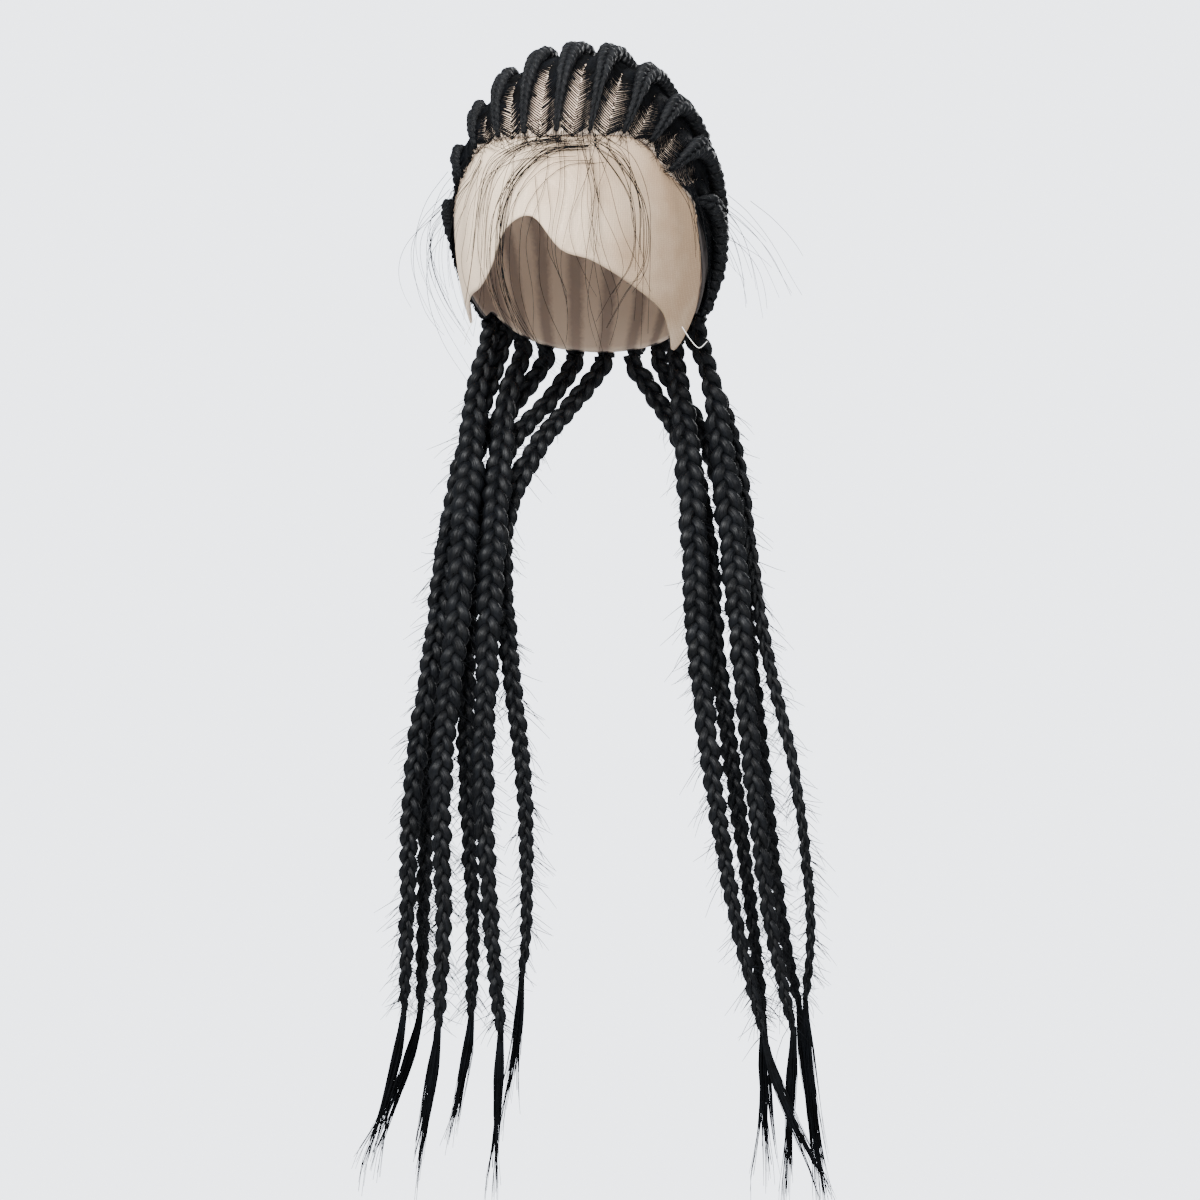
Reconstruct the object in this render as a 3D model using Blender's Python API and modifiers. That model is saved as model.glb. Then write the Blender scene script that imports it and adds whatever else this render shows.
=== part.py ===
"""Braid wig: a thin lace cap, a sheer lace front, eleven cornrows sewn over the
crown, and the eleven long plaits that they run on into, each ending in a loose tip.

Metres, +Z up, the front of the wig faces -Y and the wearer's left is +X.
The origin is the inner apex of the crown, where the wig sits on a head.
"""

import math
from collections import namedtuple

import bmesh
import bpy
from mathutils import Vector

# Head form that the cap and the lace follow, measured inside the wig.
HEAD_CENTRE = Vector((0.0, 0.0, -0.100))
HALF_WIDTH = 0.077
HALF_LENGTH = 0.097
CROWN_RISE = 0.100
LOWER_DROP = 0.124
NAPE_TUCK = 0.014
EGG = 0.06

# Walls and the small gap that neighbouring pieces keep.
CAP_WALL = 0.0015
LACE_WALL = 0.0010
SEAM_GAP = 0.0007
END_GAP = 0.0004

# Cap grid: lines run from hairline to nape, half way between the cornrows.
CAP_LINES = (-6.0, -5.5, -4.5, -3.5, -2.5, -1.5, -0.5, 0.5, 1.5, 2.5, 3.5, 4.5, 5.5, 6.0)
CAP_STEPS = 14
LACE_STEPS = 5
LACE_SIDE_COLUMNS = 4
LACE_SIDE_ROW = 6.06
OUTER_ROW = 6

# Cornrows: size at places from the hairline (0) to the nape (1).
CornrowSize = namedtuple("CornrowSize", "place width height")
CORNROW_SIZES = (
    CornrowSize(0.00, 0.0042, 0.0030),
    CornrowSize(0.08, 0.0065, 0.0050),
    CornrowSize(0.15, 0.0090, 0.0075),
    CornrowSize(0.25, 0.0128, 0.0095),
    CornrowSize(0.75, 0.0148, 0.0100),
    CornrowSize(1.00, 0.0100, 0.0085),
)
CORNROW_START = 0.012
CORNROW_CREST = 0.62
CORNROW_WAIST = 0.86
CORNROW_LEAN = 0.12
RINGS_PER_STEP = 2

# Where the rows of the head run, in degrees of turn from the front and rise above the
# head's centre. ROW_PLACES counts from the middle and is mirrored to the other side.
# HAIRLINE has where each row starts, from the viewer's left.
RowPlace = namedtuple(
    "RowPlace", "crown_turn crown_rise back_turn back_rise nape_turn nape_rise"
)
ROW_PLACES = (
    RowPlace(90.0, 90.0, 180.0, 10.0, 180.0, -45.0),
    RowPlace(90.0, 78.5, 165.5, 8.0, 166.4, -44.6),
    RowPlace(90.0, 64.0, 151.0, 5.0, 152.7, -43.8),
    RowPlace(90.0, 48.0, 136.0, 0.0, 141.0, -41.6),
    RowPlace(90.0, 29.5, 122.0, -6.0, 131.0, -38.5),
    RowPlace(90.0, 4.5, 110.0, -13.0, 121.4, -34.2),
    RowPlace(84.0, -14.5, 100.7, -29.0, 113.0, -37.0),
)
HairPlace = namedtuple("HairPlace", "turn rise")
HAIRLINE = (
    HairPlace(-73.0, 0.5),
    HairPlace(-68.5, 7.2),
    HairPlace(-50.5, 17.0),
    HairPlace(-39.5, 26.0),
    HairPlace(-23.0, 26.6),
    HairPlace(-10.5, 25.6),
    HairPlace(1.8, 25.6),
    HairPlace(14.0, 26.0),
    HairPlace(28.0, 27.8),
    HairPlace(41.5, 27.0),
    HairPlace(51.0, 17.0),
    HairPlace(71.0, 7.4),
    HairPlace(74.0, 0.5),
)

# Lower edge of the lace, a row for each column of its grid, in degrees on the head.
LaceEdge = namedtuple("LaceEdge", "turn rise")
LACE_EDGE = (
    LaceEdge(-95.0, -34.0),
    LaceEdge(-90.0, -39.0),
    LaceEdge(-84.0, -42.0),
    LaceEdge(-77.0, -42.5),
    LaceEdge(-69.0, -41.0),
    LaceEdge(-60.0, -37.0),
    LaceEdge(-48.0, -32.0),
    LaceEdge(-36.0, -28.5),
    LaceEdge(-26.0, -21.0),
    LaceEdge(-17.0, -7.5),
    LaceEdge(-6.0, -3.5),
    LaceEdge(4.0, -15.0),
    LaceEdge(15.0, -19.0),
    LaceEdge(27.0, -25.5),
    LaceEdge(40.0, -32.5),
    LaceEdge(53.0, -39.0),
    LaceEdge(62.0, -45.0),
    LaceEdge(70.0, -49.5),
    LaceEdge(78.0, -53.0),
    LaceEdge(86.0, -52.0),
    LaceEdge(92.0, -47.0),
    LaceEdge(96.0, -38.0),
)

# The head is turned by this much against the way that the plaits hang.
HANG_TURN = math.radians(11.0)
HANG_RIGHT = Vector((math.cos(HANG_TURN), math.sin(HANG_TURN), 0.0))
HANG_BACK = Vector((-math.sin(HANG_TURN), math.cos(HANG_TURN), 0.0))

# How deep the plaits hang at each height, from the shoulder down.
DEPTH_HEIGHTS = (-0.290, -0.360, -0.440, -0.520, -0.600)
DEPTHS = (-0.012, -0.045, -0.072, -0.084, -0.086)

# Plaits in the order of their cornrows, from the viewer's left. The x values are
# across the hang at ROUTE_HEIGHTS and at the tie, lane is how far behind the front
# lane it hangs, and tip_shift is how far across its loose tip swings.
ROUTE_HEIGHTS = (-0.205, -0.240, -0.290, -0.360, -0.440, -0.520)
Plait = namedtuple(
    "Plait",
    "row lane x205 x240 x290 x360 x440 x520 x_tie tie_height "
    "top_width mid_width tie_width tip_shift tip_height tip_lane",
)
PLAITS = (
    Plait(-5, 0.000, -0.066, -0.068, -0.071, -0.076, -0.083, -0.081, -0.084, -0.585,
          0.0155, 0.0115, 0.0070, -0.015, -0.674, 0.000),
    Plait(-4, 0.014, -0.061, -0.072, -0.080, -0.089, -0.100, -0.103, -0.105, -0.577,
          0.0130, 0.0110, 0.0063, -0.022, -0.668, 0.000),
    Plait(-3, 0.000, -0.047, -0.050, -0.053, -0.056, -0.058, -0.053, -0.047, -0.588,
          0.0150, 0.0110, 0.0070, -0.005, -0.679, 0.000),
    Plait(-2, 0.028, -0.040, -0.067, -0.081, -0.087, -0.092, -0.094, -0.096, -0.579,
          0.0120, 0.0095, 0.0060, -0.029, -0.665, 0.000),
    Plait(-1, 0.014, -0.020, -0.048, -0.063, -0.069, -0.068, -0.064, -0.065, -0.580,
          0.0120, 0.0096, 0.0063, -0.015, -0.657, 0.000),
    Plait(0, 0.014, -0.003, -0.030, -0.048, -0.044, -0.034, -0.032, -0.035, -0.557,
          0.0120, 0.0090, 0.0052, -0.010, -0.639, 0.000),
    Plait(1, 0.014, 0.047, 0.066, 0.077, 0.082, 0.092, 0.102, 0.109, -0.581,
          0.0110, 0.0090, 0.0057, 0.001, -0.674, 0.000),
    Plait(2, 0.028, 0.062, 0.082, 0.094, 0.102, 0.110, 0.120, 0.131, -0.576,
          0.0115, 0.0090, 0.0057, 0.016, -0.687, 0.000),
    Plait(3, 0.000, 0.062, 0.066, 0.069, 0.071, 0.079, 0.092, 0.109, -0.591,
          0.0150, 0.0103, 0.0054, 0.036, -0.679, -0.012),
    Plait(4, 0.014, 0.086, 0.096, 0.103, 0.112, 0.129, 0.137, 0.134, -0.572,
          0.0080, 0.0063, 0.0048, 0.011, -0.678, -0.005),
    Plait(5, 0.000, 0.082, 0.087, 0.092, 0.097, 0.103, 0.112, 0.126, -0.587,
          0.0150, 0.0100, 0.0057, -0.005, -0.681, 0.000),
)
TOP_WIDTH_HEIGHT = -0.260
MID_WIDTH_HEIGHT = -0.440
PLAIT_PITCH = 0.013
PLAIT_THICKNESS = 0.66
PLAIT_SWAY = 0.14
LEAD_OUT = 0.006
SIDE_TURN = 0.25
ROUTE_SAMPLES = 40

# Loose tips: how full each is along its length, as a half width.
TIP_PLACES = (0.0, 0.10, 0.28, 0.50, 0.75, 1.0)
TIP_HALF_WIDTHS = (0.0014, 0.0022, 0.0036, 0.0031, 0.0018, 0.0004)
TIP_SIDES = 5
TIP_SWING_POWER = 1.3
TIP_LANE_PLACE = 0.5

# Colour, roughness and metallic value of the two materials.
HAIR_FINISH = ((0.012, 0.012, 0.015), 0.42, 0.0)
LACE_FINISH = ((0.78, 0.70, 0.60), 0.85, 0.0)

COLLECTION = "braid_wig"


def clear_scene():
    """Remove every object that the scene starts with."""
    for item in list(bpy.data.objects):
        bpy.data.objects.remove(item, do_unlink=True)


def make_material(name, finish):
    """A Principled material of one colour, roughness and metallic value."""
    colour, roughness, metallic = finish
    material = bpy.data.materials.new(name)
    material.use_nodes = True
    shader = material.node_tree.nodes["Principled BSDF"]
    shader.inputs["Base Color"].default_value = (*colour, 1.0)
    shader.inputs["Roughness"].default_value = roughness
    shader.inputs["Metallic"].default_value = metallic
    material.diffuse_color = (*colour, 1.0)
    return material


def add_object(name, bm, finish, collection):
    """Turn a bmesh into a named object with its own material."""
    mesh = bpy.data.meshes.new(name)
    bm.to_mesh(mesh)
    bm.free()
    mesh.materials.append(make_material(name + "_finish", finish))
    item = bpy.data.objects.new(name, mesh)
    collection.objects.link(item)
    return item


def smooth_through(points, place):
    """Point at a place, counted in points, on the smooth curve through them."""
    last = len(points) - 1
    index = max(0, min(int(place), last - 1))
    part = place - index
    start = points[index]
    end = points[index + 1]
    before = points[index - 1] if index > 0 else start * 2 - end
    after = points[index + 2] if index + 2 <= last else end * 2 - start
    return (
        start * 2
        + (end - before) * part
        + (before * 2 - start * 5 + end * 4 - after) * part**2
        + (start * 3 - before - end * 3 + after) * part**3
    ) * 0.5


def between(places, values, place):
    """Value at a place, straight between the rows of a rising or falling table."""
    rising = places[-1] > places[0]
    index = 0
    while index < len(places) - 2 and (place > places[index + 1]) == rising:
        index += 1
    share = (place - places[index]) / (places[index + 1] - places[index])
    share = max(0.0, min(1.0, share))
    return values[index] + (values[index + 1] - values[index]) * share


def direction(turn, rise):
    """Unit vector from the head's centre, from degrees of turn and rise."""
    turn = math.radians(turn)
    rise = math.radians(rise)
    return Vector(
        (math.sin(turn) * math.cos(rise), -math.cos(turn) * math.cos(rise), math.sin(rise))
    )


def head_point(way, lift):
    """Point of the head form in a direction, raised by lift along its normal."""
    way = way.normalized()
    across = HALF_WIDTH * (1 + EGG * way.y)
    upright = CROWN_RISE if way.z >= 0 else LOWER_DROP - NAPE_TUCK * way.y
    reach = 1 / math.sqrt(
        (way.x / across) ** 2 + (way.y / HALF_LENGTH) ** 2 + (way.z / upright) ** 2
    )
    point = way * reach
    normal = Vector((point.x / across**2, point.y / HALF_LENGTH**2, point.z / upright**2))
    return HEAD_CENTRE + point + normal.normalized() * lift


def row_stations():
    """Directions of all rows at the hairline, the crown, the back and the nape."""
    stations = [[direction(place.turn, place.rise) for place in HAIRLINE]]
    for first in range(0, len(RowPlace._fields), 2):
        across = []
        for index in range(-OUTER_ROW, OUTER_ROW + 1):
            side = 1 if index >= 0 else -1
            turn, rise = ROW_PLACES[abs(index)][first : first + 2]
            across.append(direction(side * turn, rise))
        stations.append(across)
    return stations


STATIONS = row_stations()


def row_direction(row, place):
    """Direction of a row of the head, at a place from hairline (0) to nape (1)."""
    along = [smooth_through(across, row + OUTER_ROW).normalized() for across in STATIONS]
    return smooth_through(along, place * (len(STATIONS) - 1)).normalized()


def cap_surface(row, step):
    """Points of the cap's flat-sided outer face, half a row to each side of a row."""
    low_step = min(int(step), CAP_STEPS - 1)
    share = step - low_step
    corners = [
        head_point(row_direction(row + side, (low_step + up) / CAP_STEPS), CAP_WALL)
        for up in (0, 1)
        for side in (-0.5, 0.5)
    ]
    left = corners[0].lerp(corners[2], share)
    right = corners[1].lerp(corners[3], share)
    return left, right


def shell(name, columns, wall, finish, collection):
    """Thin wall from a grid of outer points, thickened towards the head."""
    across = len(columns) - 1
    down = len(columns[0]) - 1
    bm = bmesh.new()
    bmesh.ops.create_grid(bm, x_segments=across, y_segments=down, size=1.0)
    for vertex in bm.verts:
        column = round((vertex.co.x + 1) / 2 * across)
        step = round((vertex.co.y + 1) / 2 * down)
        vertex.co = columns[column][step]
    bm.normal_update()
    outward = sum(face.normal.dot(face.calc_center_median() - HEAD_CENTRE) for face in bm.faces)
    if outward < 0:
        bmesh.ops.reverse_faces(bm, faces=bm.faces[:])
    item = add_object(name, bm, finish, collection)
    thicken = item.modifiers.new("wall", "SOLIDIFY")
    thicken.thickness = wall
    thicken.offset = -1.0
    return item


def loft(name, rings, finish, collection):
    """Closed body through rings of equal point counts, with flat ends."""
    bm = bmesh.new()
    loops = [[bm.verts.new(point) for point in ring] for ring in rings]
    for here, following in zip(loops, loops[1:]):
        for index in range(len(here)):
            ahead = (index + 1) % len(here)
            bm.faces.new((here[index], here[ahead], following[ahead], following[index]))
    bm.faces.new(reversed(loops[0]))
    bm.faces.new(loops[-1])
    bmesh.ops.recalc_face_normals(bm, faces=bm.faces[:])
    return add_object(name, bm, finish, collection)


def build_cap(collection):
    """The crown of the cap, from the hairline to the nape."""
    columns = [
        [
            head_point(row_direction(line, step / CAP_STEPS), CAP_WALL)
            for step in range(CAP_STEPS + 1)
        ]
        for line in CAP_LINES
    ]
    shell("cap", columns, CAP_WALL, LACE_FINISH, collection)


def lace_top_directions():
    """Directions along the lace's upper edge, round the cap's front and sides."""
    hairline = [row_direction(line, 0.0) for line in CAP_LINES]
    steps = range(1, LACE_SIDE_COLUMNS + 1)
    right = [row_direction(LACE_SIDE_ROW, step / CAP_STEPS) for step in steps]
    left = [row_direction(-LACE_SIDE_ROW, step / CAP_STEPS) for step in reversed(steps)]
    return left + hairline + right


def build_lace_front(collection):
    """The sheer lace over the forehead, the temples and in front of the ears."""
    columns = []
    for top, edge in zip(lace_top_directions(), LACE_EDGE):
        low = direction(edge.turn, edge.rise)
        run = (head_point(low, 0.0) - head_point(top, 0.0)).length
        inset = SEAM_GAP / run
        shares = [inset + (1 - inset) * step / LACE_STEPS for step in range(LACE_STEPS + 1)]
        columns.append([head_point(top.lerp(low, share), LACE_WALL) for share in shares])
    shell("lace_front", columns, LACE_WALL, LACE_FINISH, collection)


def cornrow_frames(row):
    """Place, centre of the base, side and normal of each ring of a cornrow."""
    frames = []
    reach = 1 / RINGS_PER_STEP
    for ring in range(CAP_STEPS * RINGS_PER_STEP + 1):
        step = max(CORNROW_START * CAP_STEPS, ring * reach)
        left, right = cap_surface(row, step)
        next_left, next_right = cap_surface(row, min(step + reach, CAP_STEPS))
        last_left, last_right = cap_surface(row, max(step - reach, 0.0))
        side = (right - left).normalized()
        ahead = (next_left + next_right - last_left - last_right).normalized()
        side = (side - ahead * side.dot(ahead)).normalized()
        normal = side.cross(ahead)
        if normal.dot(left - HEAD_CENTRE) < 0:
            normal.negate()
        frames.append((step / CAP_STEPS, (left + right) / 2, side, normal))
    return frames


def cornrow_size(place):
    """Width and height of a cornrow at a place from hairline to nape."""
    places = [size.place for size in CORNROW_SIZES]
    width = between(places, [size.width for size in CORNROW_SIZES], place)
    height = between(places, [size.height for size in CORNROW_SIZES], place)
    return width, height


def build_cornrow(name, row, collection):
    """A ridge of plaited hair along one row, leaning left and right in turn."""
    rings = []
    for index, (place, base, side, normal) in enumerate(cornrow_frames(row)):
        width, height = cornrow_size(place)
        lean = CORNROW_LEAN * width * (-1) ** (index + 1)
        foot = base + normal * SEAM_GAP
        crest = base + normal * height + side * lean
        half = width / 2
        foot_half = half * CORNROW_WAIST
        crest_half = half * CORNROW_CREST
        rings.append(
            (
                foot - side * foot_half,
                foot + side * foot_half,
                crest + side * crest_half,
                crest - side * crest_half,
            )
        )
    loft(name, rings, HAIR_FINISH, collection)


def hang_point(across, depth, height):
    """Point from its place across the hang, its depth and its height."""
    return HANG_RIGHT * across + HANG_BACK * depth + Vector((0.0, 0.0, height))


def plait_start(row):
    """Where a plait leaves its cornrow: point, way out and side."""
    frames = cornrow_frames(row)
    place, base, side, normal = frames[-1]
    height = cornrow_size(place)[1]
    ahead = (base - frames[-2][1]).normalized()
    return base + normal * (SEAM_GAP + height / 2), ahead, side


def lane_depth(plait, height, start):
    """Depth of a plait at a height, easing from its cornrow to its lane."""
    shoulder = DEPTH_HEIGHTS[0]
    if height < shoulder:
        return between(DEPTH_HEIGHTS, DEPTHS, height) + plait.lane
    share = (start.z - height) / (start.z - shoulder)
    return start.dot(HANG_BACK) * (1 - share) + (DEPTHS[0] + plait.lane) * share


def plait_route(plait):
    """Route of a plait's middle from nape to tie, its way out and its first side."""
    start, ahead, side = plait_start(plait.row)
    start = start + ahead * END_GAP
    lead = start + ahead * LEAD_OUT
    across = (plait.x205, plait.x240, plait.x290, plait.x360, plait.x440, plait.x520)
    route = [start, lead]
    for x, height in zip(across, ROUTE_HEIGHTS):
        route.append(hang_point(x, lane_depth(plait, height, lead), height))
    tie_depth = lane_depth(plait, plait.tie_height, lead)
    route.append(hang_point(plait.x_tie, tie_depth, plait.tie_height))
    return route, ahead, side


def even_points(route, spacing):
    """Points a fixed distance apart along the smooth curve through a route."""
    fine = [
        smooth_through(route, index / ROUTE_SAMPLES)
        for index in range((len(route) - 1) * ROUTE_SAMPLES + 1)
    ]
    runs = [0.0]
    for here, following in zip(fine, fine[1:]):
        runs.append(runs[-1] + (following - here).length)
    count = round(runs[-1] / spacing)
    points = []
    index = 0
    for step in range(count + 1):
        target = runs[-1] * step / count
        while index < len(runs) - 2 and runs[index + 1] < target:
            index += 1
        share = (target - runs[index]) / (runs[index + 1] - runs[index])
        points.append(fine[index].lerp(fine[index + 1], share))
    return points


def plait_width(plait, height, start_height):
    """Width of a plait at a height."""
    heights = (start_height, TOP_WIDTH_HEIGHT, MID_WIDTH_HEIGHT, plait.tie_height)
    first = min(CORNROW_SIZES[-1].width, plait.top_width)
    return between(heights, (first, plait.top_width, plait.mid_width, plait.tie_width), height)


def path_frames(points, start_ahead, first_side, last_side):
    """Point, side and normal at each point of a path, turning between two sides."""
    frames = []
    for index, point in enumerate(points):
        last = points[max(index - 1, 0)]
        following = points[min(index + 1, len(points) - 1)]
        ahead = (following - last).normalized() if index else start_ahead
        share = min(1.0, index / (SIDE_TURN * len(points)))
        side = first_side.lerp(last_side, share)
        side = (side - ahead * side.dot(ahead)).normalized()
        frames.append((point, side, side.cross(ahead).normalized()))
    return frames


def plait_frames(plait):
    """Point, side and normal along a plait, two to each pitch."""
    route, ahead, side = plait_route(plait)
    points = even_points(route, PLAIT_PITCH / 2)
    return path_frames(points, ahead, side, HANG_RIGHT)


def build_plait(name, plait, collection):
    """A flattened three-strand plait, scalloped on both edges."""
    frames = plait_frames(plait)
    rings = []
    for index, (point, side, normal) in enumerate(frames):
        width = plait_width(plait, point.z, frames[0][0].z)
        sway = PLAIT_SWAY * width / 2 * (-1) ** (index + 1)
        across = side * width / 2 * (1 - PLAIT_SWAY / 2)
        deep = normal * width * PLAIT_THICKNESS / 2
        middle = point + side * sway
        rings.append((middle - across, point + deep, middle + across, point - deep))
    loft(name, rings, HAIR_FINISH, collection)


def build_tip(name, plait, collection):
    """The loose end below a tie: a narrow neck, a fuller lock and a point."""
    tie, side, normal = plait_frames(plait)[-1]
    top = tie + normal.cross(side) * END_GAP
    drop = plait.tip_height - top.z
    rings = []
    for place, half in zip(TIP_PLACES, TIP_HALF_WIDTHS):
        swing = plait.tip_shift * place**TIP_SWING_POWER
        depth = plait.tip_lane * min(1.0, place / TIP_LANE_PLACE)
        centre = top + hang_point(swing, depth, drop * place)
        turns = [2 * math.pi * corner / TIP_SIDES for corner in range(TIP_SIDES)]
        rings.append(
            [centre + (side * math.cos(turn) + normal * math.sin(turn)) * half for turn in turns]
        )
    loft(name, rings, HAIR_FINISH, collection)


def main():
    """Build every piece of the wig in one collection."""
    clear_scene()
    collection = bpy.data.collections.new(COLLECTION)
    bpy.context.scene.collection.children.link(collection)
    build_cap(collection)
    build_lace_front(collection)
    for number, plait in enumerate(PLAITS, start=1):
        build_cornrow(f"cornrow_{number}", plait.row, collection)
        build_plait(f"braid_{number}", plait, collection)
        build_tip(f"tip_{number}", plait, collection)


main()
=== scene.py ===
"""Looks of the braid wig: plaits of real strands, lace, partings, baby hair and stage.

Metres, +Z up, the front of the wig faces -Y, the origin is the inner apex of the crown.
"""

import math
from collections import namedtuple

import bmesh
import bpy
import numpy as np
from bpy.props import FloatProperty, FloatVectorProperty, IntProperty, PointerProperty
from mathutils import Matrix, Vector


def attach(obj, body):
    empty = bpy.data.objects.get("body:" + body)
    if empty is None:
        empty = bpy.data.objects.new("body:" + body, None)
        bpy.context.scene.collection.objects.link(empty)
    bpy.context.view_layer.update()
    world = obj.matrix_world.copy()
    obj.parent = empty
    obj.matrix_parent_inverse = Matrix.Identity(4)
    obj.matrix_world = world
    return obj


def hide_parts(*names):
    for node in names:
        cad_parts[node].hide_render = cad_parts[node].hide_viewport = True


bl_info = {
    "name": "Braid wig",
    "version": (1, 0, 0),
    "blender": (4, 5, 0),
    "location": "View3D > Sidebar > Wig",
    "description": "Makes the pieces of a braid wig round its packed frame",
    "category": "Object",
}

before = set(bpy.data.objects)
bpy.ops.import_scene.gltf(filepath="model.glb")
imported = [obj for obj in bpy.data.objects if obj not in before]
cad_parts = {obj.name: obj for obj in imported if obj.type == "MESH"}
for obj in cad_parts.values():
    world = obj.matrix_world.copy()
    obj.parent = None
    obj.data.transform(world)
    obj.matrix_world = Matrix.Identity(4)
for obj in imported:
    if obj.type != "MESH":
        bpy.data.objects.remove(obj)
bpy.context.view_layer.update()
BODY = "root"
WELD = 0.00001

# Head form under the cap, the same form that the frame's cap and lace follow.
HEAD_CENTRE = np.array((0.0, 0.0, -0.100))
HALF_WIDTH = 0.077
HALF_LENGTH = 0.097
CROWN_RISE = 0.100
LOWER_DROP = 0.124
NAPE_TUCK = 0.014
EGG = 0.06
CAP_WALL = 0.0015
LACE_WALL = 0.0010
LACE_GAP = 0.0007

# Rows of the head in degrees of turn from the front and rise above the head's centre.
# ROW_PLACES counts from the middle and is mirrored. HAIRLINE has where each row
# starts, from the viewer's left.
RowPlace = namedtuple(
    "RowPlace", "crown_turn crown_rise back_turn back_rise nape_turn nape_rise"
)
ROW_PLACES = (
    RowPlace(90.0, 90.0, 180.0, 10.0, 180.0, -45.0),
    RowPlace(90.0, 78.5, 165.5, 8.0, 166.4, -44.6),
    RowPlace(90.0, 64.0, 151.0, 5.0, 152.7, -43.8),
    RowPlace(90.0, 48.0, 136.0, 0.0, 141.0, -41.6),
    RowPlace(90.0, 29.5, 122.0, -6.0, 131.0, -38.5),
    RowPlace(90.0, 4.5, 110.0, -13.0, 121.4, -34.2),
    RowPlace(84.0, -14.5, 100.7, -29.0, 113.0, -37.0),
)
HairPlace = namedtuple("HairPlace", "turn rise")
HAIRLINE = tuple(HairPlace(*place) for place in (
    (-73, 0.5), (-68.5, 7.2), (-50.5, 17), (-39.5, 26), (-23, 26.6),
    (-10.5, 25.6), (1.8, 25.6), (14, 26), (28, 27.8), (41.5, 27),
    (51, 17), (71, 7.4), (74, 0.5),
))
OUTER_ROW = 6
STATIONS = 4
CAP_STEPS = 14
CAP_LINES = (-6.0, -5.5, -4.5, -3.5, -2.5, -1.5, -0.5, 0.5, 1.5, 2.5, 3.5, 4.5, 5.5, 6.0)
LACE_SIDE_COLUMNS = 4
LACE_SIDE_ROW = 6.06

# Lower edge of the lace in degrees on the head, from the viewer's left ear.
LaceEdge = namedtuple("LaceEdge", "turn rise")
LACE_EDGE = tuple(LaceEdge(*edge) for edge in (
    (-95, -34), (-90, -39), (-84, -42), (-77, -42.5), (-69, -41),
    (-60, -37), (-48, -32), (-36, -28.5), (-26, -21), (-17, -7.5),
    (-6, -3.5), (4, -15), (15, -19), (27, -25.5), (40, -32.5),
    (53, -39), (62, -45), (70, -49.5), (78, -53), (86, -52),
    (92, -47), (96, -38),
))

# The hang of the plaits, turned against the head: across, back and up.
HANG_TURN = math.radians(11.0)
HANG_RIGHT = np.array((math.cos(HANG_TURN), math.sin(HANG_TURN), 0.0))
HANG_BACK = np.array((-math.sin(HANG_TURN), math.cos(HANG_TURN), 0.0))
UP = np.array((0.0, 0.0, 1.0))

NUMBERS = range(1, 12)
MIDDLE_NUMBER = 6

# Plaits: how the three strands lie, as shares of the plait's width. They swell at
# the edges and narrow where they dive under each other.
Wrap = namedtuple("Wrap", "swing depth half_width half_thick swell")
BRAID_WRAP = Wrap(0.275, 0.18, 0.235, 0.215, 0.30)
CORNROW_WRAP = Wrap(0.26, 0.20, 0.225, 0.30, 0.40)
SWELL_MEAN = 0.3
SWELL_SHARPNESS = 6
# A plait's width over the span of the frame's ring there, whose edges are scalloped.
CAD_OUTLINE = 1.10 / 0.93
STRAND_SIDES = 14
STRAND_STEP = 0.0018
STRAND_LOBES = 3
STRAND_LOBE_DEPTH = 0.04
STRAND_TWIST = 190.0
PETAL_JITTER = 0.13
PITCH_JITTER = 0.12
PITCH_DRIFT = 0.03
PETAL_DRIFT = 0.010
LOBE_DRIFT = 0.02
BRAID_GIRTH = 1.5
CORNROW_GIRTH = 2.2
TIE_LENGTH = 0.014
TIE_SHARE = 0.45
TIE_CURVE = 0.7

# Tips: hairs in locks. Past the last ring of the frame's tip they run on by TIP_TAIL.
TIP_ROOT = 0.003
TIP_HAIR_RADIUS = 0.00034
TIP_TAPER = 0.35
TIP_TAIL = (0.4, 0.4, 1.0)
TIP_LOCK_STRAY = 0.0034
TIP_HAIR_STRAY = 0.0008
TIP_SPREAD = (1.12, 0.9)

# Cornrows: the same plait, half sunk in the hair against the cap.
CORNROW_PITCH = 0.0066
RIGHT_ROWS_RISE = 1.16
CORNROW_START = 0.008
CORNROW_MIDDLE = 0.45
CORNROW_SIDES = 10
CORNROW_STEP = 0.0014
CornrowSize = namedtuple("CornrowSize", "place width height")
CORNROW_SIZES = tuple(CornrowSize(*size) for size in (
    (0.00, 0.0026, 0.0024),
    (0.03, 0.0040, 0.0038),
    (0.10, 0.0062, 0.0056),
    (0.17, 0.0094, 0.0080),
    (0.26, 0.0133, 0.0101),
    (0.75, 0.0153, 0.0106),
    (1.00, 0.0108, 0.0090),
))

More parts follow.
